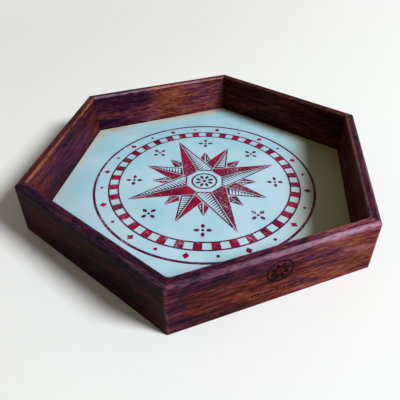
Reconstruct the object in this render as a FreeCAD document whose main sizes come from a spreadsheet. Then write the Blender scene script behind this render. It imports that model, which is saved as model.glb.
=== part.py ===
"""Hexagonal wooden dice tray, in millimetres.

Six mitred rails stand round a base board that sits in a rebate at their foot. Hidden keys lock
the mitres. A printed sheet on a thin core board lies on the base, and felt covers the underside.
The origin is the centre of the footprint, +Z is up and the front rail faces -Y.
"""
import FreeCAD, Part
import math
import os
import Sketcher

# Driving dimensions: alias, value in millimetres, what it measures
SIZES = [
    ("rail_length", 125.5, "outer side of the hexagon, from corner to corner"),
    ("rail_height", 36.3, "from the table to the rim"),
    ("rail_thickness", 6.9, "wall of the frame"),
    ("corner_radius", 1.8, "upright outer corners, sanded soft"),
    ("rim_outer_radius", 2.9, "outer edge of the rim"),
    ("rim_inner_radius", 1.7, "inner edge of the rim"),
    ("guide_radius", 4.0, "guide of the cutter, which rounds the rim's inner edge at the corners"),
    ("foot_radius", 0.6, "outer edge of the foot"),
    ("rebate_width", 3.4, "how far the rebate goes into the rail"),
    ("felt_thickness", 0.8, "liner on the underside"),
    ("felt_margin", 0.4, "from the felt's edge to the rebate"),
    ("base_thickness", 2.5, "plywood base board"),
    ("base_clearance", 0.15, "from the board's edge to the rebate"),
    ("core_thickness", 1.1, "board under the printed sheet"),
    ("sheet_thickness", 0.4, "printed play sheet"),
    ("insert_clearance", 0.6, "from the insert's edge to the rails"),
    ("key_thickness", 2.2, "hidden key in each mitre"),
    ("key_width", 6.4, "width of the key, half of it in each rail"),
    ("key_inset", 4.5, "from the key's slot to the rim, and to the rebate"),
    ("key_clearance", 0.05, "glue gap on each side of the key"),
]

# Rails anticlockwise from the front one, and the key at the end of each rail on the same round
RAILS = ["rail_front", "rail_front_right", "rail_back_right",
         "rail_back", "rail_back_left", "rail_front_left"]
KEYS = ["mitre_key_front_right", "mitre_key_right", "mitre_key_back_right",
        "mitre_key_back_left", "mitre_key_left", "mitre_key_front_left"]
TURN = 360 / len(RAILS)  # degrees from one rail to the next
MITRE = TURN / 2  # degrees from the middle of a rail to its mitre
FRONT = -90.0  # degrees from +X to the middle of the front rail
SLOPE = math.tan(math.radians(MITRE))

# Expressions that several pieces share
OUTER = f"(sizes.rail_length / 2 / tan({MITRE} deg))"  # from the centre to the outer faces
INNER = f"({OUTER} - sizes.rail_thickness)"  # from the centre to the inner faces
REBATE = f"({INNER} + sizes.rebate_width)"  # from the centre to the rebate's wall
BASE_FOOT = "sizes.felt_thickness"
BASE_TOP = f"({BASE_FOOT} + sizes.base_thickness)"  # also the rebate's shoulder
CORE_TOP = f"({BASE_TOP} + sizes.core_thickness)"
KEY_FOOT = f"({BASE_TOP} + sizes.key_inset)"
KEY_LENGTH = f"(sizes.rail_height - sizes.key_inset - {KEY_FOOT})"
# A rail's faces fall back from the corner, so a key in the middle of its wood sits further in
KEY_RADIUS = f"(({OUTER} + {INNER}) / 2 / cos({MITRE} deg) - sizes.key_width / 4 * tan({MITRE} deg))"

# The guide's upright axis where it touches both rails of a corner, from the middle of one rail
GUIDE_REACH = f"({INNER} - sizes.guide_radius)"
GUIDE_SIDE = f"({GUIDE_REACH} * tan({MITRE} deg))"
GUIDE_SWEEP = 1.5 * MITRE  # degrees it turns there, past the mitre

TOLERANCE = 1e-4  # millimetres
START, END, CENTRE = range(1, 4)  # an edge's points, as constraints count them
LEVEL_AXIS = -START  # a sketch's own level axis
ORIGIN = (LEVEL_AXIS, START)

doc = FreeCAD.newDocument("dice_tray")
pieces = []


def make_sheet():
    """The spreadsheet of driving dimensions."""
    sheet = doc.addObject("Spreadsheet::Sheet", "sizes")
    for row, (alias, value, note) in enumerate(SIZES, start=1):
        sheet.set(f"A{row}", alias)
        sheet.set(f"B{row}", str(value))
        sheet.setAlias(f"B{row}", alias)
        sheet.set(f"C{row}", note)
    doc.recompute()
    return sheet


def value(expression):
    """What an expression of the sheet comes to, for a sketch's first lines and for tests."""
    return float(sizes.evalExpression(expression))


def make_body(name, angle=0.0):
    """A named body, turned about the tray's axis by an angle in degrees."""
    body = doc.addObject("PartDesign::Body", name)
    body.Label = name
    turned = FreeCAD.Rotation(FreeCAD.Vector(0, 0, 1), angle)
    body.Placement = FreeCAD.Placement(FreeCAD.Vector(), turned)
    pieces.append(body)
    return body


def make_sketch(body, name, plane="XY_Plane", height="0", angle=0.0):
    """A sketch on a plane of the body's origin, raised by an expression and turned in degrees."""
    sketch = body.newObject("Sketcher::SketchObject", f"{body.Name}_{name}")
    support = next(item for item in body.Origin.OriginFeatures if item.Role == plane)
    sketch.AttachmentSupport = [(support, "")]
    sketch.MapMode = "FlatFace"
    turned = FreeCAD.Rotation(FreeCAD.Vector(0, 0, 1), angle)
    sketch.AttachmentOffset = FreeCAD.Placement(FreeCAD.Vector(), turned)
    sketch.setExpression("AttachmentOffset.Base.z", height)
    return sketch


def add_line(sketch, start, end):
    segment = Part.LineSegment(FreeCAD.Vector(*start), FreeCAD.Vector(*end))
    return sketch.addGeometry(segment, False)


def add_lines(sketch, points):
    """A closed run of lines through the points, joined at their ends."""
    edges = [add_line(sketch, *ends) for ends in zip(points, points[1:] + points[:1])]
    for edge, following in zip(edges, edges[1:] + edges[:1]):
        constrain(sketch, "Coincident", edge, END, following, START)
    return edges


def constrain(sketch, *constraint):
    return sketch.addConstraint(Sketcher.Constraint(*constraint))


def make_square(sketch, edges):
    """Sets a closed run's edges level and upright by turns."""
    for number, edge in enumerate(edges):
        constrain(sketch, "Vertical" if number % 2 else "Horizontal", edge)


def bind(sketch, name, expression, *constraint):
    """A dimension of a sketch, tied to the sheet."""
    index = constrain(sketch, *constraint, value(expression))
    sketch.renameConstraint(index, name)
    sketch.setExpression(f"Constraints.{name}", expression)


def pad(body, sketch, length, both_ways=False):
    feature = body.newObject("PartDesign::Pad", f"{body.Name}_pad")
    feature.Profile = sketch
    feature.SideType = "Symmetric" if both_ways else "One side"
    feature.setExpression("Length", length)
    doc.recompute()


def recompute_cut(body, feature):
    """Makes a cut, and stops if it takes nothing away."""
    volume = feature.BaseFeature.Shape.Volume
    doc.recompute()
    if body.Shape.Volume > volume - TOLERANCE:
        raise RuntimeError(f"{feature.Name} cuts nothing")


def pocket(body, sketch, name, length, both_ways=False):
    """Cuts a sketch's shape, up from a level sketch or to both sides of an upright one."""
    feature = body.newObject("PartDesign::Pocket", f"{body.Name}_{name}")
    feature.Profile = sketch
    feature.SideType = "Symmetric" if both_ways else "One side"
    feature.Reversed = not both_ways
    feature.setExpression("Length", length)
    recompute_cut(body, feature)


def groove(body, sketch, name, side):
    """Turns a sketch's shape about its upright axis, towards one end of the rail."""
    feature = body.newObject("PartDesign::Groove", f"{body.Name}_{name}")
    feature.Profile = sketch
    feature.ReferenceAxis = (sketch, ["V_Axis"])
    feature.Angle = GUIDE_SWEEP
    feature.Reversed = side < 0
    recompute_cut(body, feature)


def round_edge(body, name, radius, reach, height):
    """Rounds the long edge of a bar that lies at a distance from the centre, at a height."""
    base = body.Tip

    def chosen(edge):
        middle = edge.CenterOfMass
        return (abs(middle.y + value(reach)) < TOLERANCE
                and abs(middle.z - value(height)) < TOLERANCE and abs(middle.x) < TOLERANCE)

    names = [f"Edge{number}" for number, edge in enumerate(base.Shape.Edges, start=1)
             if chosen(edge)]
    feature = body.newObject("PartDesign::Fillet", f"{body.Name}_{name}")
    feature.Base = (base, names)
    feature.setExpression("Radius", radius)
    doc.recompute()


def sketch_section(body):
    """The front rail's section: an upright bar with a rebate at its inner foot."""
    sketch = make_sketch(body, "section", "YZ_Plane")
    outer, inner, wall = -value(OUTER), -value(INNER), -value(REBATE)
    rim, shoulder = value("sizes.rail_height"), value(BASE_TOP)
    edges = add_lines(sketch, [(outer, 0), (wall, 0), (wall, shoulder), (inner, shoulder),
                               (inner, rim), (outer, rim)])
    foot, _, ledge, face, top, _ = edges
    make_square(sketch, edges)
    constrain(sketch, "PointOnObject", foot, START, LEVEL_AXIS)
    bind(sketch, "outer_face", OUTER, "DistanceX", foot, START, *ORIGIN)
    bind(sketch, "inner_face", INNER, "DistanceX", face, START, *ORIGIN)
    bind(sketch, "rebate_wall", REBATE, "DistanceX", foot, END, *ORIGIN)
    bind(sketch, "shoulder", BASE_TOP, "DistanceY", *ORIGIN, ledge, START)
    bind(sketch, "rim", "sizes.rail_height", "DistanceY", *ORIGIN, top, START)
    return sketch


def sketch_cutter(body, name, side):
    """Half of the cutter that rounds the rim's inner edge, beside the guide's upright axis.

    The axis is at the left end of the rail, its middle or its right end: side is -1, 0 or 1.
    """
    sketch = make_sketch(body, name, "YZ_Plane", f"{side} * {GUIDE_SIDE}")
    sketch.setExpression("AttachmentOffset.Base.x", f"-{GUIDE_REACH}")
    guide, radius = value("sizes.guide_radius"), value("sizes.rim_inner_radius")
    rim = value("sizes.rail_height")
    far, near, low, high = -guide - radius, -guide / 2, rim - radius, rim + radius
    circle = Part.Circle(FreeCAD.Vector(far, low), FreeCAD.Vector(0, 0, 1), radius)
    arc = sketch.addGeometry(Part.ArcOfCircle(circle, 0, math.pi / 2), False)
    rise = add_line(sketch, (far, rim), (far, high))
    top = add_line(sketch, (far, high), (near, high))
    back = add_line(sketch, (near, high), (near, low))
    foot = add_line(sketch, (near, low), (-guide, low))
    edges = [arc, rise, top, back, foot]
    for edge, following in zip(edges, edges[1:] + edges[:1]):
        constrain(sketch, "Coincident", edge, END, following, START)
    make_square(sketch, [top, back, foot, rise])
    constrain(sketch, "Vertical", arc, CENTRE, rise, START)
    constrain(sketch, "Horizontal", arc, CENTRE, foot, END)
    bind(sketch, "guide", "sizes.guide_radius", "DistanceX", foot, END, *ORIGIN)
    bind(sketch, "near", "sizes.guide_radius / 2", "DistanceX", back, START, *ORIGIN)
    bind(sketch, "round", "sizes.rim_inner_radius", "Radius", arc)
    bind(sketch, "rim", "sizes.rail_height", "DistanceY", *ORIGIN, rise, START)
    bind(sketch, "over", "sizes.rim_inner_radius", "DistanceY", rise, START, rise, END)
    return sketch


def sketch_waste(body, name, side):
    """Plan of what is sawn off one end: up to the mitre, with the corner's round."""
    sketch = make_sketch(body, name)
    outer, radius = value(OUTER), value("sizes.corner_radius")
    centre = FreeCAD.Vector(side * (outer - radius) * SLOPE, radius - outer)
    square, slant = math.radians(FRONT), math.radians(FRONT + side * MITRE)
    tip = centre + FreeCAD.Vector(math.cos(slant), math.sin(slant)) * radius
    far = side * value("sizes.rail_length")
    mitre = add_line(sketch, (0, 0), (tip.x, tip.y))
    circle = Part.Circle(centre, FreeCAD.Vector(0, 0, 1), radius)
    corner = sketch.addGeometry(
        Part.ArcOfCircle(circle, min(square, slant), max(square, slant)), False)
    run_out = add_line(sketch, (centre.x, -outer), (far, -outer))
    end = add_line(sketch, (far, -outer), (far, 0))
    back = add_line(sketch, (far, 0), (0, 0))
    tip_point, face_point = (END, START) if side > 0 else (START, END)
    constrain(sketch, "Coincident", mitre, START, *ORIGIN)
    constrain(sketch, "Coincident", mitre, END, corner, tip_point)
    constrain(sketch, "Tangent", corner, face_point, run_out, START)
    constrain(sketch, "Coincident", run_out, END, end, START)
    constrain(sketch, "Coincident", end, END, back, START)
    constrain(sketch, "Coincident", back, END, mitre, START)
    constrain(sketch, "PointOnObject", corner, CENTRE, mitre)
    constrain(sketch, "Angle", mitre, slant)
    constrain(sketch, "Horizontal", run_out)
    constrain(sketch, "Vertical", end)
    constrain(sketch, "Horizontal", back)
    bind(sketch, "outer_face", OUTER, "DistanceY", run_out, END, *ORIGIN)
    bind(sketch, "corner", "sizes.corner_radius", "Radius", corner)
    reach = (*ORIGIN, end, END) if side > 0 else (end, END, *ORIGIN)
    bind(sketch, "reach", "sizes.rail_length", "DistanceX", *reach)
    return sketch


def sketch_key(body, name, height, angle, width, thickness):
    """Plan of a key, or of its slot, across the mitre that lies at an angle from +X."""
    sketch = make_sketch(body, name, height=height, angle=angle)
    middle, across, along = value(KEY_RADIUS), value(width) / 2, value(thickness) / 2
    near, far = middle - along, middle + along
    edges = add_lines(sketch, [(near, -across), (far, -across), (far, across), (near, across)])
    make_square(sketch, edges)
    bind(sketch, "near", f"{KEY_RADIUS} - ({thickness}) / 2", "DistanceX", *ORIGIN, edges[0], START)
    bind(sketch, "thickness", thickness, "DistanceX", edges[0], START, edges[0], END)
    bind(sketch, "half", f"({width}) / 2", "DistanceY", edges[0], START, *ORIGIN)
    bind(sketch, "width", width, "DistanceY", edges[0], START, edges[2], END)
    return sketch


def make_rail(name, number):
    """A moulded bar, sawn to its mitres, with a slot for a key in each of them."""
    body = make_body(name, number * TURN)
    pad(body, sketch_section(body), "sizes.rail_length", both_ways=True)
    round_edge(body, "rim_outside", "sizes.rim_outer_radius", OUTER, "sizes.rail_height")
    round_edge(body, "foot", "sizes.foot_radius", OUTER, "0")
    pocket(body, sketch_cutter(body, "middle_cutter", 0), "rim_inside", f"2 * {GUIDE_SIDE}", both_ways=True)
    for end, side in (("left", -1), ("right", 1)):
        groove(body, sketch_cutter(body, f"{end}_cutter", side), f"{end}_corner", side)
        pocket(body, sketch_waste(body, f"{end}_waste", side), f"{end}_mitre", "sizes.rail_height")
        plan = sketch_key(body, f"{end}_slot_plan", KEY_FOOT, FRONT + side * MITRE,
                          "sizes.key_width + 2 * sizes.key_clearance",
                          "sizes.key_thickness + 2 * sizes.key_clearance")
        pocket(body, plan, f"{end}_slot", KEY_LENGTH)


def make_key(name, number):
    """The hidden key in the mitre between one rail and the next."""
    body = make_body(name, FRONT + MITRE + number * TURN)
    plan = sketch_key(body, "plan", f"{KEY_FOOT} + sizes.key_clearance", 0.0,
                      "sizes.key_width", "sizes.key_thickness")
    pad(body, plan, f"{KEY_LENGTH} - 2 * sizes.key_clearance")


def make_plate(name, reach, foot, thickness):
    """A flat six-sided board, whose sides lie parallel to the rails at the distance reach."""
    body = make_body(name)
    sketch = make_sketch(body, "plan", height=foot)
    radius = value(reach) / math.cos(math.radians(MITRE))
    angles = [math.radians(FRONT - MITRE + number * TURN) for number in range(len(RAILS))]
    edges = add_lines(sketch, [(radius * math.cos(angle), radius * math.sin(angle))
                               for angle in angles])
    ring = sketch.addGeometry(
        Part.Circle(FreeCAD.Vector(), FreeCAD.Vector(0, 0, 1), radius), True)
    constrain(sketch, "Coincident", ring, CENTRE, *ORIGIN)
    for edge in edges:
        constrain(sketch, "PointOnObject", edge, START, ring)
    for edge in edges[1:]:
        constrain(sketch, "Equal", edges[0], edge)
    constrain(sketch, "Horizontal", edges[0])
    bind(sketch, "reach", reach, "DistanceY", edges[0], START, *ORIGIN)
    pad(body, sketch, thickness)


def check_document():
    """Stops if any object failed, or if a piece isn't one valid solid."""
    for item in doc.Objects:
        if "Invalid" in item.State or "Error" in item.State:
            raise RuntimeError(f"{item.Name} failed: {item.State}")
    for piece in pieces:
        shape = piece.Shape
        if shape.isNull() or not shape.isValid() or len(shape.Solids) != 1:
            raise RuntimeError(f"{piece.Label} is not one valid solid")


sizes = make_sheet()
for number, name in enumerate(RAILS):
    make_rail(name, number)
for number, name in enumerate(KEYS):
    make_key(name, number)
make_plate("underside_felt", f"{REBATE} - sizes.felt_margin", "0", "sizes.felt_thickness")
make_plate("base_board", f"{REBATE} - sizes.base_clearance", BASE_FOOT, "sizes.base_thickness")
make_plate("insert_core", f"{INNER} - sizes.insert_clearance", BASE_TOP, "sizes.core_thickness")
make_plate("play_sheet", f"{INNER} - sizes.insert_clearance", CORE_TOP, "sizes.sheet_thickness")
doc.recompute()
check_document()

os.makedirs("parts", exist_ok=True)
for piece in pieces:
    piece.Shape.exportStep(f"parts/{piece.Label}.step")
    box = piece.Shape.BoundBox
    print(f"{piece.Label}: {piece.Shape.Volume:.1f} mm3, z {box.ZMin:.2f} to {box.ZMax:.2f}")
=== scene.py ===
"""Looks of a hexagonal dice tray: its woods, its printed sheet, the camera and the light.

The scene is in metres. Materials and flat shapes are in millimetres, and the wood of each
rail is laid out as if that rail stood at the front.
"""
import math

import bmesh
import bpy
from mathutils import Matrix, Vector


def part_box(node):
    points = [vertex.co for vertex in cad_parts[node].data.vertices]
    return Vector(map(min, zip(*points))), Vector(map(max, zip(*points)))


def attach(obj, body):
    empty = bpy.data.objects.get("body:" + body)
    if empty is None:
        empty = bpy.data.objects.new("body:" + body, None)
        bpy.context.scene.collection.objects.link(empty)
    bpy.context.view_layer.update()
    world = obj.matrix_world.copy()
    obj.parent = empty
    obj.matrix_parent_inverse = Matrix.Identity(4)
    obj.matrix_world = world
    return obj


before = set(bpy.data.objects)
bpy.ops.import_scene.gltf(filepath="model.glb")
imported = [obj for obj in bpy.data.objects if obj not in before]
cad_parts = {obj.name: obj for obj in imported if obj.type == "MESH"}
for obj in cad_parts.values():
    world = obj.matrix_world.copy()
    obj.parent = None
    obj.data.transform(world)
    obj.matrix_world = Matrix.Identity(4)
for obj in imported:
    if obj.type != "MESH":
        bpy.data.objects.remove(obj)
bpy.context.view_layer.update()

MM = 0.001  # metres in a millimetre

# What the frame says of the tray, in millimetres. The front rail faces -Y.
RAIL_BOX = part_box("rail_front")
RIM = RAIL_BOX[1].z / MM
OUTER = -RAIL_BOX[0].y / MM  # from the centre to a rail's outer face
INNER = -RAIL_BOX[1].y / MM  # from the centre to a rail's inner face
RAIL_HALF = RAIL_BOX[1].x / MM
SHEET_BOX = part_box("play_sheet")
SHEET_TOP = SHEET_BOX[1].z / MM
SHEET_REACH = SHEET_BOX[1].y / MM  # from the centre to an edge of the sheet
TURN = 60.0  # degrees from one rail to the next
MITRE = TURN / 2

# The photograph's frame and the lens that gave it
IMAGE_SIZE = 400
PRINCIPAL_POINT = (202.5, 169.8)
FOCAL_PIXELS = 426.1
SENSOR = 36.0  # millimetres
CAMERA_AZIMUTH = -21.18
CAMERA_ELEVATION = 35.81
CAMERA_DISTANCE = 0.335
CAMERA_TARGET = Vector((0.00625, 0.01993, 0.0))

# The soft key light, and the warm fill from all round
KEY_AZIMUTH = 46.5
KEY_ELEVATION = 41.7
KEY_DISTANCE = 3.0
KEY_SIZE = 0.90
KEY_POWER = 140.0
KEY_COLOUR = (0.90, 0.95, 1.0)
FILL_STRENGTH = 0.19
FILL_COLOUR = (1.0, 0.88, 0.68)

# The floor: pale where it is seen, and darker in the light that it throws back on the tray
FLOOR_RADIUS = 4.0
FLOOR_CORNERS = 64
FLOOR_SEEN = (0.78, 0.77, 0.75)
FLOOR_BOUNCE = (0.20, 0.19, 0.19)
FADE_START = 0.25  # metres from the centre to where the floor starts to fade into white
FADE_END = 1.4  # and to where it is white

INK_HEIGHT = 0.05  # how far print and burnt lines stand above what they are on


def polar(radius, angle):
    """The point at a radius and an angle."""
    return (radius * math.cos(math.radians(angle)), radius * math.sin(math.radians(angle)))


def seen_rays(tree):
    """1 for a ray that shows the background: from the camera, or by gloss or through glass."""
    rays = tree.nodes.new("ShaderNodeLightPath")
    factor = rays.outputs["Is Camera Ray"]
    for kind in ("Is Glossy Ray", "Is Transmission Ray"):
        either = tree.nodes.new("ShaderNodeMath")
        either.operation = "MAXIMUM"
        tree.links.new(factor, either.inputs[0])
        tree.links.new(rays.outputs[kind], either.inputs[1])
        factor = either.outputs[0]
    return factor


class Shader:
    """A material whose nodes are added one call at a time. A value may be a socket."""

    def __init__(self, name, **uniform):
        self.material = bpy.data.materials.new(name)
        self.material.use_nodes = True
        self.tree = self.material.node_tree
        self.surface = self.tree.nodes["Principled BSDF"]
        for key, value in uniform.items():
            socket = key.replace("_", " ").title().replace("Ior", "IOR")
            self.surface.inputs[socket].default_value = value

    def put(self, socket, value):
        if isinstance(value, bpy.types.NodeSocket):
            self.tree.links.new(value, socket)
        else:
            socket.default_value = value

    def add(self, kind, inputs, **properties):
        node = self.tree.nodes.new(kind)
        for key, value in properties.items():
            setattr(node, key, value)
        for key, value in inputs.items():
            self.put(node.inputs[key], value)
        return node.outputs[0]

    def place(self, turn=0.0):
        """A point of the surface in millimetres, turned back by a number of degrees."""
        node = self.tree.nodes.new("ShaderNodeTexCoord")
        return self.add("ShaderNodeMapping", {
            "Vector": node.outputs["Object"],
            "Rotation": (0, 0, math.radians(-turn)),
            "Scale": (1 / MM, 1 / MM, 1 / MM)})

    def split(self, vector):
        node = self.tree.nodes.new("ShaderNodeSeparateXYZ")
        self.put(node.inputs[0], vector)
        return list(node.outputs)

    def join(self, x, y, z):
        return self.add("ShaderNodeCombineXYZ", {0: x, 1: y, 2: z})

    def math(self, operation, *values):
        return self.add("ShaderNodeMath", dict(enumerate(values)), operation=operation)

    def total(self, first, *others):
        for other in others:
            first = self.math("ADD", first, other)
        return first

    def product(self, first, second):
        return self.math("MULTIPLY", first, second)

    def square_sum(self, first, second):
        return self.total(self.product(first, first), self.product(second, second))

    def scaled(self, value, factor, shift=0.0):
        return self.math("MULTIPLY_ADD", value, factor, shift)

    def swing(self, noise, width):
        """A noise of 0 to 1 made to swing about 0, over a whole width."""
        return self.scaled(noise, width, -width / 2)

    def towards(self, x, y, angle):
        """How far a point lies towards an angle."""
        across, up = polar(1, angle)
        return self.total(self.scaled(x, across), self.scaled(y, up))

    def noise(self, vector, scale=1.0, detail=2.0, roughness=0.5, distortion=0.0):
        return self.add("ShaderNodeTexNoise", {
            "Vector": vector, "Scale": scale, "Detail": detail,
            "Roughness": roughness, "Distortion": distortion})

    def stretched(self, axes, scales, shifts, **look):
        """Noise over three axes, each with its scale and its shift."""
        return self.noise(self.join(*map(self.scaled, axes, scales, shifts)), **look)

    def step(self, value, low, high, bottom=0.0, top=1.0):
        """Goes smoothly from bottom to top as the value goes from low to high."""
        return self.add("ShaderNodeMapRange", {
            "Value": value, "From Min": low, "From Max": high, "To Min": bottom, "To Max": top},
            interpolation_type="SMOOTHSTEP")

    def ramp(self, value, *stops):
        node = self.tree.nodes.new("ShaderNodeValToRGB")
        self.put(node.inputs[0], value)
        elements = node.color_ramp.elements
        while len(elements) < len(stops):
            elements.new(0.5)
        for element, (position, colour) in zip(elements, stops):
            element.position = position
            element.color = (*colour, 1.0)
        return node.outputs[0]

    def mix(self, factor, first, second):
        node = self.tree.nodes.new("ShaderNodeMix")
        node.data_type = "RGBA"
        self.put(node.inputs[0], factor)
        for socket, colour in ((node.inputs[6], first), (node.inputs[7], second)):
            self.put(socket, colour if isinstance(colour, bpy.types.NodeSocket) else (*colour, 1.0))
        return node.outputs[2]

    def bump(self, height, distance, strength):
        """Relief from a height of 0 to 1, whose full depth is a distance in millimetres."""
        self.put(self.surface.inputs["Normal"], self.add("ShaderNodeBump", {
            "Height": height, "Distance": distance * MM, "Strength": strength}))

    def finish(self, colour, roughness):
        self.put(self.surface.inputs["Base Color"], colour)
        self.put(self.surface.inputs["Roughness"], roughness)
        return self.material


ZONE_END = 1.6  # square of the distance from a zone's middle, in half sizes, where it ends


def zone_sum(shader, across, up, zones, amount=0):
    """Sum of soft oval zones, each as strong as one of its amounts."""
    total = 0.0
    for middle_across, middle_up, half_across, half_up, *amounts in zones:
        square = shader.square_sum(
            shader.scaled(across, 1 / half_across, -middle_across / half_across),
            shader.scaled(up, 1 / half_up, -middle_up / half_up))
        total = shader.total(total, shader.step(square, 0.0, ZONE_END, amounts[amount], 0.0))
    return total


# Rosewood from its darkest streaks to its brightest, where it is warm and where it is purple
WARM_WOOD = ((0.009, 0.002, 0.003), (0.042, 0.007, 0.007), (0.100, 0.017, 0.012),
             (0.185, 0.040, 0.024), (0.340, 0.105, 0.062))
PURPLE_WOOD = ((0.008, 0.003, 0.011), (0.034, 0.007, 0.019), (0.082, 0.015, 0.031),
               (0.155, 0.036, 0.050), (0.310, 0.105, 0.110))
WOOD_TONES = (0.06, 0.26, 0.46, 0.66, 0.92)
MIDDLE_TONE = 0.45
# Pale wood of the worn arrises, which also serves as their painted highlight
WARM_WORN_HIGHLIGHT = (0.46, 0.20, 0.15)
PURPLE_WORN_HIGHLIGHT = (0.42, 0.24, 0.33)
WOOD_BLACK = (0.008, 0.004, 0.007)

# The amounts of a zone of the wood
LIGHTER = 0
PURPLER = 1

# How far the growth rings wander as they run along the rail, slowly and quickly
SLOW_WAVE = 4.4
QUICK_WAVE = 1.6

# In from the face plus down from the top, at the middle of each of the rim's rounds
OUTER_ARRIS = 1.7
INNER_ARRIS = 1.0

# Where the soft borders of marks in the wood start and end
RIM_STAIN_AND_SHEEN_DOWN = (5.0, 1.0)  # from the rim's top
RIM_STAIN_AND_SHEEN_IN = (1.5, 4.0)  # from the outer face
OUTER_SKIN = (0.3, 0.8)  # from the outer face
CORNER_WEAR_AND_HIGHLIGHT = (0.2, 1.3)  # from the mitre
GLUE_LINE = (0.08, 0.30)  # from the mitre


def rosewood(name, turn, seed, pith, lift_and_shade, contrast, wear_and_highlight, zones):
    """Waxed rosewood of one rail, with its grain along the rail, and painted highlights on its worn
    arrises.
    """
    shader = Shader(name, specular_ior_level=0.012, coat_weight=0.04, coat_roughness=0.25)
    x, y, z = shader.split(shader.place(turn))
    from_outer = shader.math("ADD", y, OUTER)
    from_inner = shader.scaled(y, -1.0, -INNER)
    from_top = shader.scaled(z, -1.0, RIM)

    # Growth rings round a pith line beside the rail, wavy along it
    slow = shader.stretched((x, y, z), (0.016, 0.03, 0.03), (seed, 0, 0), detail=1.0)
    quick = shader.stretched((x, y, z), (0.075, 0.12, 0.14), (seed, 0, 0))
    wave = shader.total(shader.swing(slow, SLOW_WAVE), shader.swing(quick, QUICK_WAVE))
    pith_in, pith_up = pith
    depth = shader.math("ADD", from_outer, -pith_in)
    height = shader.total(z, wave, -pith_up)
    ring = shader.math("SQRT", shader.square_sum(depth, height))

    # Tone: broad zones, streaks along the rings, short dashes and fine fibres
    broad = shader.stretched((x, ring, 0), (0.014, 0.10, 0), (seed, 0, seed + 3.0))
    streaks = shader.stretched((x, ring, 0), (0.050, 0.60, 0), (seed, 0, seed + 7.0),
                               detail=3.0, roughness=0.55, distortion=0.4)
    dashes = shader.stretched((x, y, height), (0.20, 1.0, 1.1), (seed, 0, 0),
                              detail=3.0, roughness=0.6, distortion=0.2)
    fibres = shader.stretched((x, y, height), (0.16, 2.6, 2.6), (seed, 0, 0),
                              detail=3.0, roughness=0.6)
    grain = shader.total(shader.swing(streaks, 1.2), shader.swing(dashes, 1.2),
                         shader.swing(fibres, 1.0))
    tone = shader.total(shader.swing(broad, 0.7), shader.scaled(grain, contrast),
                        zone_sum(shader, x, z, zones, LIGHTER), MIDDLE_TONE + lift_and_shade)

    # Purple stains, more of them on the outer half of the rim's top, where the purple is partly a
    # painted sky sheen
    stains = shader.stretched((x, y, height), (0.035, 0.12, 0.13), (seed, 0, seed + 9.0),
                              detail=3.0, roughness=0.6, distortion=0.5)
    rim_stain_and_sheen = shader.product(shader.step(from_top, *RIM_STAIN_AND_SHEEN_DOWN, 0.0, 0.25),
                               shader.step(from_outer, *RIM_STAIN_AND_SHEEN_IN, 1.0, 0.0))
    stains = shader.total(stains, rim_stain_and_sheen, zone_sum(shader, x, z, zones, PURPLER))
    stain = shader.step(stains, 0.42, 0.68)
    colour = shader.mix(stain, shader.ramp(tone, *zip(WOOD_TONES, WARM_WOOD)),
                        shader.ramp(tone, *zip(WOOD_TONES, PURPLE_WOOD)))

    # Ink-dark veins that come and go along the rings
    veins = shader.stretched((x, ring, 0), (0.016, 1.3, 0), (seed + 5.0, 0, seed),
                             detail=3.0, roughness=0.55)
    colour = shader.mix(shader.step(veins, 0.62, 0.72, 0.0, 0.6), colour, WOOD_BLACK)

    # Open pores: short thin dashes along the grain
    pores = shader.stretched((x, y, height), (0.16, 2.9, 2.9), (seed, 0, 0), detail=1.0)
    pore = shader.step(pores, 0.64, 0.72)
    colour = shader.mix(shader.scaled(pore, 0.55), colour, WOOD_BLACK)

    # Paler, handled wood along the outer and the inner arris of the rim, which also stands in as a
    # painted highlight there
    streaky = shader.total(dashes, shader.scaled(broad, 0.8))
    strokes = shader.step(shader.total(streaky, shader.scaled(fibres, 0.8)), 0.95, 1.60)
    left_wear_and_highlight, right_wear_and_highlight, inner_wear_and_highlight = wear_and_highlight
    outer_wear_and_highlight = shader.step(x, -RAIL_HALF, RAIL_HALF, left_wear_and_highlight, right_wear_and_highlight)
    outer_edge = shader.step(shader.total(from_outer, from_top),
                             OUTER_ARRIS, 1.6 * OUTER_ARRIS, outer_wear_and_highlight, 0.0)
    inner_edge = shader.step(shader.total(from_inner, from_top),
                             INNER_ARRIS, 1.7 * INNER_ARRIS, inner_wear_and_highlight, 0.0)
    worn_and_highlit_wood = shader.mix(stain, WARM_WORN_HIGHLIGHT, PURPLE_WORN_HIGHLIGHT)
    for edge in (outer_edge, inner_edge):
        colour = shader.mix(shader.product(edge, strokes), colour, worn_and_highlit_wood)

    # At the mitre: wear and a painted highlight on the outer face, and a dark glue line inside and
    # on top
    inward = shader.scaled(y, -math.sin(math.radians(MITRE)))
    along = shader.scaled(shader.math("ABSOLUTE", x), math.cos(math.radians(MITRE)))
    to_mitre = shader.math("SUBTRACT", inward, along)
    outer_face = shader.step(from_outer, *OUTER_SKIN, 1.0, 0.0)
    corner = shader.product(shader.step(to_mitre, *CORNER_WEAR_AND_HIGHLIGHT, 1.0, 0.0), outer_face)
    corner_wear_and_highlight = shader.product(corner, shader.step(streaky, 0.65, 1.15, 0.0, 0.40))
    colour = shader.mix(corner_wear_and_highlight, colour, worn_and_highlit_wood)
    glue = shader.product(shader.step(to_mitre, *GLUE_LINE, 0.7, 0.0),
                          shader.scaled(outer_face, -1.0, 1.0))
    colour = shader.mix(glue, colour, WOOD_BLACK)

    relief = shader.total(shader.scaled(fibres, 0.5), shader.scaled(pore, -0.7),
                          shader.scaled(glue, -0.6))
    shader.bump(relief, 0.05, 0.5)
    roughness = shader.total(shader.scaled(fibres, 0.20, 0.38), shader.scaled(pore, 0.2))
    return shader.finish(colour, roughness)
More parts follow.
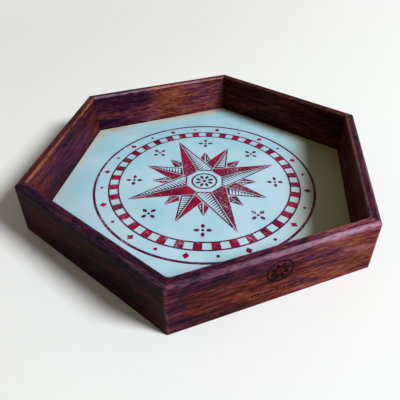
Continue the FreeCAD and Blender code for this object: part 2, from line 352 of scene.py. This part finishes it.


# Each rail, anticlockwise from the front one: the seed of its noises, the pith in from its
# outer face and up from the table, the lift and the contrast of its tone, where the lower
# lift of the front-left, front-right and back-right rails is partly painted shade, the wear of
# its outer arris at the left and the right end and of its inner arris, which is also a painted
# highlight, and its zones, by their middle and half sizes along and up the rail, with how
# much lighter and more purple they are
RAIL_WOODS = {
    "rail_front": dict(
        seed=1.7, pith=(40.0, -34.0), lift_and_shade=-0.06, contrast=0.95, wear_and_highlight=(0.2, 0.75, 0.2), zones=[
            (-25, 33, 46, 7, -0.10, 0.30), (-45, 8, 36, 18, -0.08, -0.08),
            (45, 18, 38, 24, 0.18, 0.0), (-12, 15, 24, 7, 0.08, -0.16),
            (28, 26, 14, 4, -0.12, 0.20), (0, 38, 120, 5, -0.05, 0.05),
            (-64, 16, 14, 26, 0.04, 0.30)]),
    # The front-right rail's broad warmer zone is painted warm bounce light in its shade, and its
    # lighter, purpler zone at the left end of the rim is a painted highlight
    "rail_front_right": dict(
        seed=4.1, pith=(40.0, 62.0), lift_and_shade=-0.18, contrast=0.8, wear_and_highlight=(0.25, 0.05, 0.6), zones=[
            (0, 18, 120, 60, 0.0, -0.20), (-62, 38, 30, 6, 0.08, 0.20),
            (0, 38, 120, 5, -0.12, 0.20)]),
    # The back-right rail's broad warmer zone is painted warm bounce light in its shade, and its
    # lighter zone near the top is a painted sheen
    "rail_back_right": dict(
        seed=8.3, pith=(50.0, -30.0), lift_and_shade=-0.20, contrast=0.8, wear_and_highlight=(0.3, 0.1, 0.1), zones=[
            (0, 18, 120, 60, 0.0, -0.20), (15, 31, 30, 5, 0.10, 0.0)]),
    "rail_back": dict(
        seed=12.9, pith=(35.0, 60.0), lift_and_shade=-0.03, contrast=0.9, wear_and_highlight=(0.1, 0.0, 0.9), zones=[
            (38, 28, 36, 9, -0.22, 0.35), (44, 9, 26, 6, -0.20, 0.30),
            (-2, 26, 20, 14, 0.16, -0.15), (-38, 18, 30, 18, 0.12, 0.10),
            (0, 38, 90, 4, -0.14, 0.05), (20, 14, 22, 10, 0.05, 0.15)]),
    "rail_back_left": dict(
        seed=17.3, pith=(45.0, -34.0), lift_and_shade=-0.17, contrast=0.55, wear_and_highlight=(0.0, 0.1, 0.35), zones=[
            (38, 31, 24, 5, 0.16, -0.05), (-2, 20, 40, 16, -0.01, 0.22),
            (-25, 7, 40, 4, -0.12, 0.10), (-52, 22, 22, 18, 0.04, -0.10),
            (0, 38, 120, 5, -0.01, -0.25)]),
    # The front-left rail's lighter, purpler zone along the rim is a painted sky reflection
    "rail_front_left": dict(
        seed=21.1, pith=(40.0, 60.0), lift_and_shade=-0.28, contrast=0.8, wear_and_highlight=(0.1, 0.2, 0.1), zones=[
            (0, 38, 160, 6, 0.08, 0.35)]),
}


def edge_distance(shader, x, y, reach):
    """Distance inwards from the nearest side of a hexagon that lies along the rails."""
    nearest = None
    for number in range(3):
        offset = shader.math("ABSOLUTE", shader.towards(x, y, 90 + number * TURN))
        nearest = offset if nearest is None else shader.math("MAXIMUM", nearest, offset)
    return shader.math("SUBTRACT", reach, nearest)


PAPER_MINT = (0.305, 0.525, 0.595)
PAPER_PALE = (0.42, 0.58, 0.665)
PAPER_CREAM = (0.52, 0.46, 0.33)
PAPER_DULL = (0.33, 0.47, 0.53)
PAPER_OLIVE_SHADE = (0.44, 0.37, 0.15)
PAPER_BROWN = (0.34, 0.17, 0.08)
DULL_START = -55.0  # from here to the left corner the ground grows duller
DULL_END = -105.0
# The side of the sheet that is aged most also takes a painted olive shade, where the rails' shadow
# falls on it
AGED_AND_SHADED_SIDE = -30.0  # angle of the side of the sheet that is aged most
SIDE_AGE_AND_SHADE_START = 0.50 * SHEET_REACH
SIDE_AGE_AND_SHADE_END = 0.90 * SHEET_REACH
FRINGE = 9.0  # how far the aged fringe reaches in from the sheet's edge

# Where the fringe is browner and reaches further in: middle, half sizes and amount
AGED_PLACES = [(42, 100, 24, 14, 0.6), (8, 102, 20, 12, 0.45), (-50, 98, 20, 14, 0.6),
               (-68, 78, 16, 14, 0.2), (-112, 4, 18, 12, 0.2), (82, 52, 26, 16, 0.5),
               (106, 8, 18, 34, 0.6)]


def paper_colour(shader, point):
    """The sheet's printed ground: mint, with cream and smudged brown along its edges, and an olive
    side that is aged and also painted shade.
    """
    x, y, _ = shader.split(point)
    clouds = shader.noise(point, 0.03)
    mottle = shader.noise(point, 0.3, detail=4.0, roughness=0.65)
    paleness = shader.total(shader.scaled(clouds, 3.2, -1.1), shader.swing(mottle, 1.0),
                            shader.scaled(y, -0.0060))
    colour = shader.mix(paleness, PAPER_MINT, PAPER_PALE)
    colour = shader.mix(shader.step(x, DULL_START, DULL_END, 0.0, 0.6), colour, PAPER_DULL)

    # The fringe: cream all along, and brown where it is aged more
    smudges = shader.noise(point, 0.075, detail=3.0, roughness=0.55, distortion=0.4)
    age = shader.total(zone_sum(shader, x, y, AGED_PLACES), shader.scaled(smudges, 0.8, -0.25))
    width = shader.total(shader.scaled(age, 0.9 * FRINGE, 0.8 * FRINGE),
                         shader.swing(mottle, 5.0))
    depth = shader.math("DIVIDE", edge_distance(shader, x, y, SHEET_REACH),
                        shader.math("MAXIMUM", width, 0.4 * FRINGE))
    cream = shader.product(shader.step(age, -0.15, 0.45, 0.15, 0.95),
                           shader.step(depth, -0.2, 1.0, 0.9, 0.0))
    colour = shader.mix(cream, colour, PAPER_CREAM)
    brown = shader.product(shader.step(age, 0.30, 1.30),
                           shader.step(depth, -0.1, 1.0, 0.7, 0.0))
    colour = shader.mix(brown, colour, PAPER_BROWN)

    # Olive on that side: partly age, partly painted shade
    side = shader.step(shader.towards(x, y, AGED_AND_SHADED_SIDE), SIDE_AGE_AND_SHADE_START, SIDE_AGE_AND_SHADE_END, 0.0, 0.8)
    return shader.mix(shader.total(side, shader.swing(mottle, 0.1)), colour, PAPER_OLIVE_SHADE)


def paper_relief(shader, point):
    """Raises the paper's tooth, and gives its height back."""
    tooth = shader.noise(point, 2.4, detail=3.0, roughness=0.6)
    shader.bump(tooth, 0.05, 0.4)
    return tooth


def paper(name):
    shader = Shader(name, specular_ior_level=0.20)
    point = shader.place()
    tooth = paper_relief(shader, point)
    return shader.finish(paper_colour(shader, point), shader.scaled(tooth, 0.16, 0.42))


# Crimson ink, from its strongest to its darkest, in the solid places and in the lines
SOLID_INK = ((0.270, 0.004, 0.034), (0.120, 0.003, 0.026))
LINE_INK = ((0.110, 0.004, 0.036), (0.055, 0.003, 0.026))


def ink(name, strongest, darkest):
    """Crimson print, worn through to the sheet in specks and scratches."""
    shader = Shader(name, specular_ior_level=0.06)
    point = shader.place()
    x, y, _ = shader.split(point)
    tone = shader.noise(point, 0.09, detail=3.0)
    colour = shader.mix(shader.step(tone, 0.38, 0.62), strongest, darkest)
    specks = shader.noise(point, 1.3, detail=4.0, roughness=0.7)
    patches = shader.noise(point, 0.06)
    worn = shader.step(shader.total(specks, shader.swing(patches, 0.40)), 0.62, 0.68)
    colour = shader.mix(worn, colour, paper_colour(shader, point))
    slant = shader.total(shader.scaled(x, 1.6), shader.scaled(y, 0.9))
    scratches = shader.noise(shader.join(shader.scaled(y, 0.10), slant, 0.0))
    colour = shader.mix(shader.step(scratches, 0.68, 0.74, 0.0, 0.8), colour, PAPER_PALE)
    return shader.finish(colour, shader.scaled(paper_relief(shader, point), 0.16, 0.40))


# Pale and dark colours of the plainer materials
BEECH = ((0.45, 0.28, 0.14), (0.30, 0.17, 0.08))
BIRCH = ((0.50, 0.35, 0.20), (0.30, 0.19, 0.10))
BOARD = ((0.74, 0.72, 0.66), (0.52, 0.48, 0.40))
FELT = ((0.085, 0.072, 0.077), (0.030, 0.025, 0.027))
LINT = (0.125, 0.110, 0.115)
CHAR = ((0.013, 0.004, 0.004), (0.004, 0.001, 0.002))

# How fine the fibres are along X, Y and Z
KEY_GRAIN = (0.8, 0.8, 0.03)
PLYWOOD_GRAIN = (0.03, 0.8, 0.8)
PLY = 0.83  # thickness of a layer of the plywood


def plain_wood(name, pale, dark, grain, ply=None):
    """Light wood of a hidden key or a plywood board, whose plies show at its edge."""
    shader = Shader(name)
    x, y, z = shader.split(shader.place())
    fibres = shader.stretched((x, y, z), grain, (0, 0, 0), detail=5.0, roughness=0.65)
    colour = shader.mix(shader.step(fibres, 0.32, 0.68), dark, pale)
    if ply:
        layer = shader.math("PINGPONG", z, ply)
        colour = shader.mix(shader.step(layer, 0.35 * ply, 0.65 * ply, 0.0, 0.5), colour, dark)
    shader.bump(fibres, 0.06, 0.5)
    return shader.finish(colour, shader.scaled(fibres, 0.2, 0.5))


def greyboard(name):
    """Board under the sheet, whose pale cut edge shows its fibres."""
    shader = Shader(name)
    x, y, z = shader.split(shader.place())
    fibres = shader.stretched((x, y, z), (0.9, 0.9, 6.0), (0, 0, 0), detail=4.0, roughness=0.65)
    pale, dark = BOARD
    shader.bump(fibres, 0.08, 0.6)
    return shader.finish(shader.mix(shader.step(fibres, 0.35, 0.65), dark, pale),
                         shader.scaled(fibres, 0.15, 0.72))


def felt(name):
    """Dark pressed felt, with a fuzz of short fibres in all directions."""
    shader = Shader(name, sheen_weight=0.35, sheen_roughness=0.5, specular_ior_level=0.2)
    point = shader.place()
    fuzz = shader.noise(point, 2.2, detail=6.0, roughness=0.75, distortion=1.4)
    lint = shader.noise(point, 0.25, detail=3.0)
    pale, dark = FELT
    colour = shader.mix(shader.step(fuzz, 0.3, 0.7), dark, pale)
    colour = shader.mix(shader.step(lint, 0.5, 0.75, 0.0, 0.3), colour, LINT)
    shader.bump(fuzz, 0.25, 0.8)
    return shader.finish(colour, shader.scaled(fuzz, 0.12, 0.85))


def burnt(name):
    """Charred wood of the burnt ornament."""
    shader = Shader(name, specular_ior_level=0.012)
    crust = shader.noise(shader.place(), 1.3, detail=4.0, roughness=0.65)
    pale, dark = CHAR
    shader.bump(crust, 0.04, 0.5)
    return shader.finish(shader.mix(shader.step(crust, 0.35, 0.7), dark, pale),
                         shader.scaled(crust, 0.2, 0.5))


def dress(node, material):
    """Gives a CAD node one material all over."""
    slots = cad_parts[node].data.materials
    slots.clear()
    slots.append(material)


def dress_nodes():
    for number, (node, wood) in enumerate(RAIL_WOODS.items()):
        dress(node, rosewood(f"wood_of_{node}", number * TURN, **wood))
    key_wood = plain_wood("key_wood", *BEECH, KEY_GRAIN)
    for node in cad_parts:
        if node.startswith("mitre_key"):
            dress(node, key_wood)
    dress("base_board", plain_wood("plywood", *BIRCH, PLYWOOD_GRAIN, PLY))
    dress("insert_core", greyboard("greyboard"))
    dress("play_sheet", paper("sheet_print_ground"))
    dress("underside_felt", felt("felt"))


# Flat shapes are lists of (across, up) points, in millimetres, anticlockwise

def clip(shape, point, outward):
    """The part of a convex shape on the far side of a line through a point."""
    def side(corner):
        return (corner[0] - point[0]) * outward[0] + (corner[1] - point[1]) * outward[1]

    kept = []
    for start, end in zip(shape, shape[1:] + shape[:1]):
        here, there = side(start), side(end)
        if here >= 0:
            kept.append(start)
        if here * there < 0:
            share = here / (here - there)
            kept.append(tuple(a + share * (b - a) for a, b in zip(start, end)))
    return kept


def within(shape, fence):
    """The part of a convex shape that lies inside another."""
    for start, end in zip(fence, fence[1:] + fence[:1]):
        shape = clip(shape, start, (start[1] - end[1], end[0] - start[0]))
    return shape


def inset(shape, width):
    """A convex shape drawn in by a width on every side."""
    smaller = shape
    for start, end in zip(shape, shape[1:] + shape[:1]):
        across, up = end[0] - start[0], end[1] - start[1]
        length = math.hypot(across, up)
        inward = (-up / length, across / length)
        moved = (start[0] + inward[0] * width, start[1] + inward[1] * width)
        smaller = clip(smaller, moved, inward)
    return smaller


def anticlockwise(shape):
    area = sum(a[0] * b[1] - b[0] * a[1] for a, b in zip(shape, shape[1:] + shape[:1]))
    return shape if area > 0 else shape[::-1]


def placed(shape, middle, angle=0.0):
    """A shape turned by an angle and moved to a middle."""
    cosine, sine = polar(1, angle)
    return [(middle[0] + px * cosine - py * sine, middle[1] + px * sine + py * cosine)
            for px, py in shape]


def circle(middle, radius, points):
    return placed([polar(radius, 360 * index / points) for index in range(points)], middle)


def lozenge(middle, wide, tall, angle=0.0):
    """A lozenge by its half sizes."""
    return placed([(wide, 0.0), (0.0, tall), (-wide, 0.0), (0.0, -tall)], middle, angle)


PETAL_STEPS = 10


def petal(middle, angle, near, far, width):
    """A leaf along an angle, from one radius to another, with half its width."""
    shares = [index / PETAL_STEPS for index in range(PETAL_STEPS + 1)]
    right = [(near + (far - near) * share, -width * math.sin(math.pi * share))
             for share in shares]
    left = [(along, -across) for along, across in right[-2:0:-1]]
    return placed(right + left, middle, angle)


class Print:
    """Thin raised shapes on one flat face, gathered into one piece."""

    def __init__(self, origin, across, up):
        self.mesh = bmesh.new()
        self.origin = Vector(origin)
        self.axes = (Vector(across), Vector(up))
        self.normal = self.axes[0].cross(self.axes[1])

    def corner(self, point, height):
        place = self.origin + self.axes[0] * point[0] + self.axes[1] * point[1]
        return self.mesh.verts.new((place + self.normal * height) * MM)

    def skirt(self, lower, upper):
        for index in range(len(lower)):
            after = (index + 1) % len(lower)
            self.mesh.faces.new((lower[index], lower[after], upper[after], upper[index]))

    def band(self, outer, inner):
        """A closed band between two outlines that have as many points each."""
        section = ((outer, 0), (outer, INK_HEIGHT), (inner, INK_HEIGHT), (inner, 0))
        loops = [[self.corner(point, height) for point in outline]
                 for outline, height in section]
        for loop, following in zip(loops, loops[1:] + loops[:1]):
            self.skirt(loop, following)

    def solid(self, shape):
        """A closed plate with that outline."""
        foot = [self.corner(point, 0) for point in shape]
        top = [self.corner(point, INK_HEIGHT) for point in shape]
        self.skirt(foot, top)
        self.mesh.faces.new(top)
        self.mesh.faces.new(foot[::-1])

    def outline(self, shape, width):
        """A line just inside a convex shape, if that is wide enough to hold one."""
        smaller = inset(shape, width)
        if len(smaller) == len(shape):
            start = min(range(len(smaller)),
                        key=lambda index: math.dist(smaller[index], shape[0]))
            self.band(shape, smaller[start:] + smaller[:start])

    def ring(self, middle, radius, width, points):
        """A line of a width round a circle."""
        self.band(circle(middle, radius + width / 2, points),
                  circle(middle, radius - width / 2, points))

    def done(self, name, material, slot):
        bmesh.ops.recalc_face_normals(self.mesh, faces=self.mesh.faces)
        data = bpy.data.meshes.new(name)
        self.mesh.to_mesh(data)
        self.mesh.free()
        data.materials.append(material)
        piece = bpy.data.objects.new(name, data)
        bpy.context.scene.collection.objects.link(piece)
        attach(piece, "root")


def sheet_print():
    """A print on the sheet, seen with +Y up."""
    return Print((0, 0, SHEET_TOP), (1, 0, 0), (0, 1, 0))


# The compass star's tiers of points, longest first: how many, the first one's angle, and the
# radius of the tips and of the hollows
STAR_TIERS = [(4, 0.0, 60.0, 17.0), (4, 45.0, 50.0, 23.0), (8, 22.5, 40.0, 27.0)]
STAR_HOLE = 12.5  # from the centre to each side of the hole
STAR_HOLE_TURN = 45.0  # from one side of the hole to the next
STAR_LINE = 1.0
STAR_GAP = 0.25  # from the edge of a half point to its ink
STROKE_PITCH = 2.4
STROKE_ROOT = 1.6
STROKE_LEAN = 0.5
STROKE_REACH = 0.85  # share of a half point's width


def tier_spread(tier):
    """Degrees from the tips of a tier to its hollows."""
    return 45.0 / 2 ** tier


def star_halves():
    """Each half of each point that shows: its outline, tier, the point's angle and its side."""
    for tier, (count, first, tip, hollow) in enumerate(STAR_TIERS):
        spread = tier_spread(tier)
        for number in range(count):
            angle = first + number * 360 / count
            for side in (-1, 1):
                half = anticlockwise([(0.0, 0.0), polar(tip, angle),
                                      polar(hollow, angle + side * spread)])
                middle = angle + side * spread / 2
                for longer in range(tier):
                    half = clear_of_tier(half, longer, middle)
                facing = (round(middle / STAR_HOLE_TURN - 0.5) + 0.5) * STAR_HOLE_TURN
                half = clip(half, polar(STAR_HOLE, facing), polar(1, facing))
                half = without_nicks(half)
                if len(half) > 2:
                    yield half, tier, angle, side


def without_nicks(shape):
    """A shape without the corners that are less than a line's width from the next one."""
    return [corner for corner, following in zip(shape, shape[1:] + shape[:1])
            if math.dist(corner, following) > STAR_LINE]


def clear_of_tier(shape, tier, angle):
    """What is left of a shape beside the points of a longer tier."""
    count, first, tip, hollow = STAR_TIERS[tier]
    nearest = first + round((angle - first) / (360 / count)) * 360 / count
    side = 1 if angle > nearest else -1
    start, end = polar(tip, nearest), polar(hollow, nearest + side * tier_spread(tier))
    return clip(shape, start, (side * (end[1] - start[1]), side * (start[0] - end[0])))


def star_strokes(half, tier, angle, side):
    """Tapered strokes across the pale half of a point, from its ridge towards its edge."""
    tip, hollow = STAR_TIERS[tier][2:]
    hollow_along, hollow_across = polar(hollow, tier_spread(tier))
    for number in range(round(tip / STROKE_PITCH)):
        along = number * STROKE_PITCH
        reach = STROKE_REACH * hollow_across * (tip - along) / (tip - hollow_along)
        stroke = anticlockwise([(along - STROKE_ROOT / 2, 0.0), (along + STROKE_ROOT / 2, 0.0),
                                (along + STROKE_LEAN * reach, side * reach)])
        stroke = within(placed(stroke, (0.0, 0.0), angle), half)
        if len(stroke) > 2:
            yield stroke


def print_star(solid_ink, line_ink):
    solids, lines = sheet_print(), sheet_print()
    for half, tier, angle, side in star_halves():
        shape = inset(half, STAR_GAP)
        if side > 0:
            solids.solid(shape)
        else:
            lines.outline(shape, STAR_LINE)
            for stroke in star_strokes(inset(shape, STAR_LINE), tier, angle, side):
                lines.solid(stroke)
    solids.done("print_star_dark_halves", solid_ink, "play_sheet")
    lines.done("print_star_pale_halves", line_ink, "play_sheet")


# Rosettes. A ring has its radius, width and points, a dot its radius and points, and a petal
# the radii where it starts and ends and half its width.
ROSETTE_PETALS = 8
STAR_ROSETTE = dict(ring=(9.0, 1.3, 64), dot=(1.4, 32), leaf=(2.4, 7.2, 1.2), first=0.0)
BURNT_ROSETTE = dict(ring=(7.6, 0.9, 64), dot=(0.8, 20), leaf=(1.5, 6.4, 1.15), first=22.5)


def add_rosette(art, middle, ring, dot, leaf, first):
    """Petals round a dot in a ring, from a first angle on."""
    art.ring(middle, *ring)
    art.solid(circle(middle, *dot))
    for number in range(ROSETTE_PETALS):
        art.solid(petal(middle, first + number * 360 / ROSETTE_PETALS, *leaf))


def print_rosette(material):
    """The roundel in the middle of the star."""
    art = sheet_print()
    add_rosette(art, (0, 0), **STAR_ROSETTE)
    art.done("print_rosette", material, "play_sheet")


FLOWERS = 8
FLOWER_RADIUS = 52.0  # from the sheet's middle to a flower's
FLOWER_FIRST = 22.5
FLOWER_DOT = (1.1, 16)
FLOWER_LEAVES = 4
FLOWER_LEAF = (1.8, 6.2, 1.4)


def print_flowers(material):
    """Small four-leaved flowers between the star's points."""
    art = sheet_print()
    for flower in range(FLOWERS):
        angle = FLOWER_FIRST + flower * 360 / FLOWERS
        middle = polar(FLOWER_RADIUS, angle)
        art.solid(circle(middle, *FLOWER_DOT))
        for leaf in range(FLOWER_LEAVES):
            art.solid(petal(middle, angle + leaf * 360 / FLOWER_LEAVES, *FLOWER_LEAF))
    art.done("print_flowers", material, "play_sheet")


RING_POINTS = 144
SCALE_INNER = 62.9  # middle radius of the scale's fine lines
SCALE_OUTER = 69.7
SCALE_LINE = 1.2
SCALE_BLOCKS = 36
BLOCK_STEPS = 4


def arc_block(inner, outer, start, end):
    """The part of a ring from one angle to another."""
    angles = [start + (end - start) * index / BLOCK_STEPS for index in range(BLOCK_STEPS + 1)]
    return ([polar(outer, angle) for angle in angles]
            + [polar(inner, angle) for angle in reversed(angles)])


def print_scale(solid_ink, line_ink):
    """The graduated ring: two fine lines with blocks between them by turns."""
    lines, blocks = sheet_print(), sheet_print()
    for radius in (SCALE_INNER, SCALE_OUTER):
        lines.ring((0, 0), radius, SCALE_LINE, RING_POINTS)
    pitch = 360 / SCALE_BLOCKS
    for number in range(SCALE_BLOCKS):
        blocks.solid(arc_block(SCALE_INNER + SCALE_LINE / 2, SCALE_OUTER - SCALE_LINE / 2,
                               (number + 0.25) * pitch, (number + 0.75) * pitch))
    lines.done("print_scale_lines", line_ink, "play_sheet")
    blocks.done("print_scale_blocks", solid_ink, "play_sheet")


BORDER_RADIUS = 80.0
BORDER_LINE = 1.8
BEADS = 24
BEAD_RADIUS = 74.7  # from the sheet's middle to that of each lozenge and dot
BEAD_LOZENGE = (2.7, 2.3)
BEAD_DOT = (1.2, 20)


def print_border(line_ink, solid_ink):
    """The outer line, with lozenges and dots inside it."""
    line, beads = sheet_print(), sheet_print()
    line.ring((0, 0), BORDER_RADIUS, BORDER_LINE, RING_POINTS)
    for number in range(BEADS):
        angle = number * 360 / BEADS
        middle = polar(BEAD_RADIUS, angle)
        if number % 2:
            beads.solid(circle(middle, *BEAD_DOT))
        else:
            beads.solid(lozenge(middle, *BEAD_LOZENGE, angle))
    line.done("print_border_line", line_ink, "play_sheet")
    beads.done("print_border_beads", solid_ink, "play_sheet")


# The burnt ornament on the front rail. Heights are above the table.
ROSETTE_HEIGHT = 23.2
FLOURISH_HEIGHT = 9.0
FLOURISH_COUNT = 8  # lozenges on each side of the middle one
FLOURISH_PITCH = 1.9
FLOURISH_WIDE = 0.42 * FLOURISH_PITCH
FLOURISH_TALL = 1.0


def burnt_ornament(material):
    """A flower in a ring, over a row of lozenges, tall and low by turns."""
    art = Print((0, -OUTER, 0), (1, 0, 0), (0, 0, 1))
    add_rosette(art, (0.0, ROSETTE_HEIGHT), **BURNT_ROSETTE)
    for number in range(-FLOURISH_COUNT, FLOURISH_COUNT + 1):
        tall = FLOURISH_TALL if number % 2 == 0 else FLOURISH_TALL / 2
        art.solid(lozenge((number * FLOURISH_PITCH, FLOURISH_HEIGHT), FLOURISH_WIDE, tall))
    art.done("burnt_ornament", material, "rail_wood")


def direction(azimuth, elevation):
    """Unit vector from the tray, where azimuth 0 is -Y and 90 is +X."""
    side, up = math.radians(azimuth), math.radians(elevation)
    return Vector((math.sin(side) * math.cos(up), -math.cos(side) * math.cos(up), math.sin(up)))


def add_camera():
    data = bpy.data.cameras.new("camera")
    data.sensor_width = SENSOR
    data.lens = SENSOR * FOCAL_PIXELS / IMAGE_SIZE
    data.shift_x = 0.5 - PRINCIPAL_POINT[0] / IMAGE_SIZE
    data.shift_y = PRINCIPAL_POINT[1] / IMAGE_SIZE - 0.5
    camera = bpy.data.objects.new("camera", data)
    outward = direction(CAMERA_AZIMUTH, CAMERA_ELEVATION)
    camera.location = CAMERA_TARGET + outward * CAMERA_DISTANCE
    camera.rotation_euler = outward.to_track_quat("Z", "Y").to_euler()
    bpy.context.scene.collection.objects.link(camera)
    bpy.context.scene.camera = camera


def add_key_light():
    data = bpy.data.lights.new("key_light", "AREA")
    data.shape = "DISK"
    data.size = KEY_SIZE
    data.energy = KEY_POWER
    data.color = KEY_COLOUR
    light = bpy.data.objects.new("key_light", data)
    outward = direction(KEY_AZIMUTH, KEY_ELEVATION)
    light.location = outward * KEY_DISTANCE
    light.rotation_euler = outward.to_track_quat("Z", "Y").to_euler()
    bpy.context.scene.collection.objects.link(light)


def add_world():
    """Soft fill from all round. Behind the floor the camera, gloss and glass see white."""
    world = bpy.data.worlds.new("world")
    world.use_nodes = True
    bpy.context.scene.world = world
    tree = world.node_tree
    fill = tree.nodes["Background"]
    fill.inputs["Color"].default_value = (*FILL_COLOUR, 1.0)
    fill.inputs["Strength"].default_value = FILL_STRENGTH
    white = tree.nodes.new("ShaderNodeBackground")
    white.inputs["Color"].default_value = (1.0, 1.0, 1.0, 1.0)
    mix = tree.nodes.new("ShaderNodeMixShader")
    tree.links.new(seen_rays(tree), mix.inputs[0])
    tree.links.new(fill.outputs[0], mix.inputs[1])
    tree.links.new(white.outputs[0], mix.inputs[2])
    tree.links.new(mix.outputs[0], tree.nodes["World Output"].inputs["Surface"])


def add_floor():
    """A pale round floor, which fades into the white behind it."""
    mesh = bmesh.new()
    bmesh.ops.create_circle(mesh, cap_ends=True, segments=FLOOR_CORNERS, radius=FLOOR_RADIUS)
    data = bpy.data.meshes.new("floor")
    mesh.to_mesh(data)
    mesh.free()
    shader = Shader("floor")
    seen = seen_rays(shader.tree)
    shader.finish(shader.mix(seen, FLOOR_BOUNCE, FLOOR_SEEN), 0.7)
    x, y, _ = shader.split(shader.place())
    away = shader.math("SQRT", shader.square_sum(x, y))
    fade = shader.product(seen, shader.step(away, FADE_START / MM, FADE_END / MM))
    white = shader.add("ShaderNodeEmission", {})
    faded = shader.add("ShaderNodeMixShader", {0: fade, 1: shader.surface.outputs[0], 2: white})
    shader.tree.links.new(faded, shader.tree.nodes["Material Output"].inputs["Surface"])
    data.materials.append(shader.material)
    floor = bpy.data.objects.new("floor", data)
    bpy.context.scene.collection.objects.link(floor)


add_camera()
add_key_light()
add_world()
add_floor()
dress_nodes()
solid_ink = ink("solid_ink", *SOLID_INK)
line_ink = ink("line_ink", *LINE_INK)
print_star(solid_ink, line_ink)
print_rosette(line_ink)
print_flowers(line_ink)
print_scale(solid_ink, line_ink)
print_border(line_ink, solid_ink)
burnt_ornament(burnt("burnt_wood"))
bpy.context.scene.view_settings.view_transform = "Standard"
